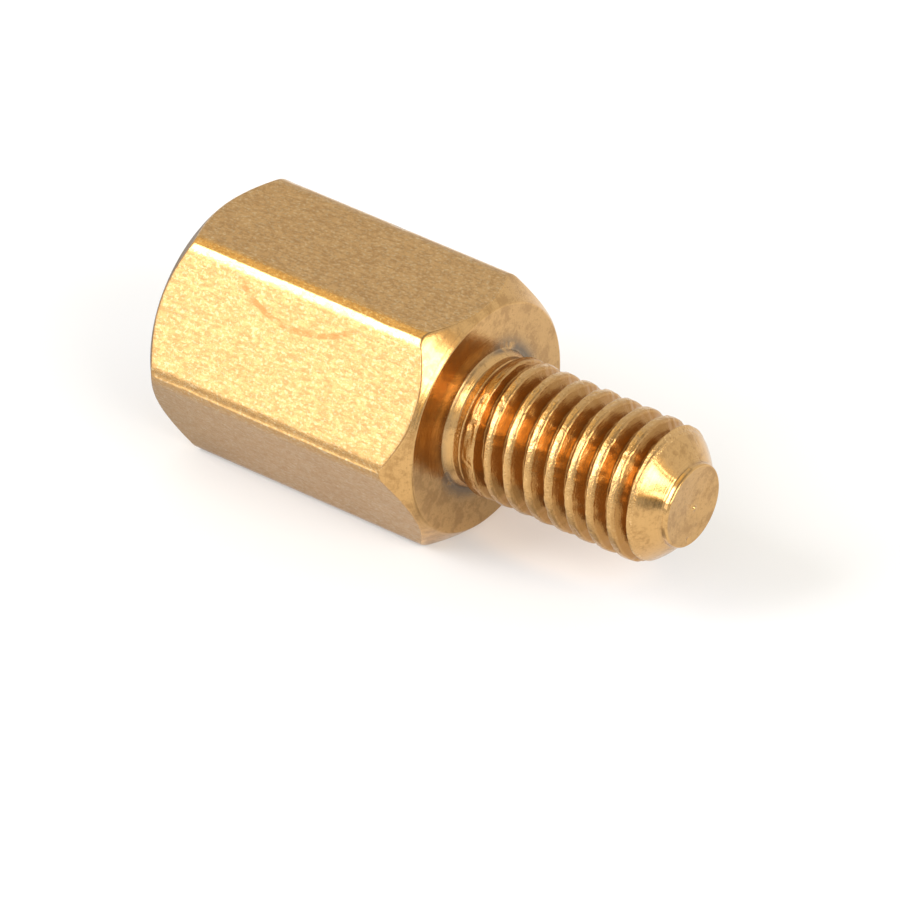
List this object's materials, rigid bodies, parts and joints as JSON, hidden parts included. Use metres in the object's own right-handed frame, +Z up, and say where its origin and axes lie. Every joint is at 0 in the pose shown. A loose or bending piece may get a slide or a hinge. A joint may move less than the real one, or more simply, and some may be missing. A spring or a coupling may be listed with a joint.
{
  "type": "hex standoff",
  "caption": "Brass hexagonal standoff with turned corners, a threaded stud at one end and a tapped blind hole at the other.",
  "frame": {"origin": "on the axis, in the plane of the shoulder that a circuit board seats against", "axes": "+X along the axis, towards the tip of the stud; +Z up, square to the flat that the body lies on; +Y along that flat"},
  "size_m": [0.0115, 0.0056, 0.005],
  "materials": {
    "brass": "turned and drawn brass, lightly tarnished, with a fine grain along the flats"
  },
  "bodies": {
    "root": {"standoff": "brass"}
  },
  "joints": []
}
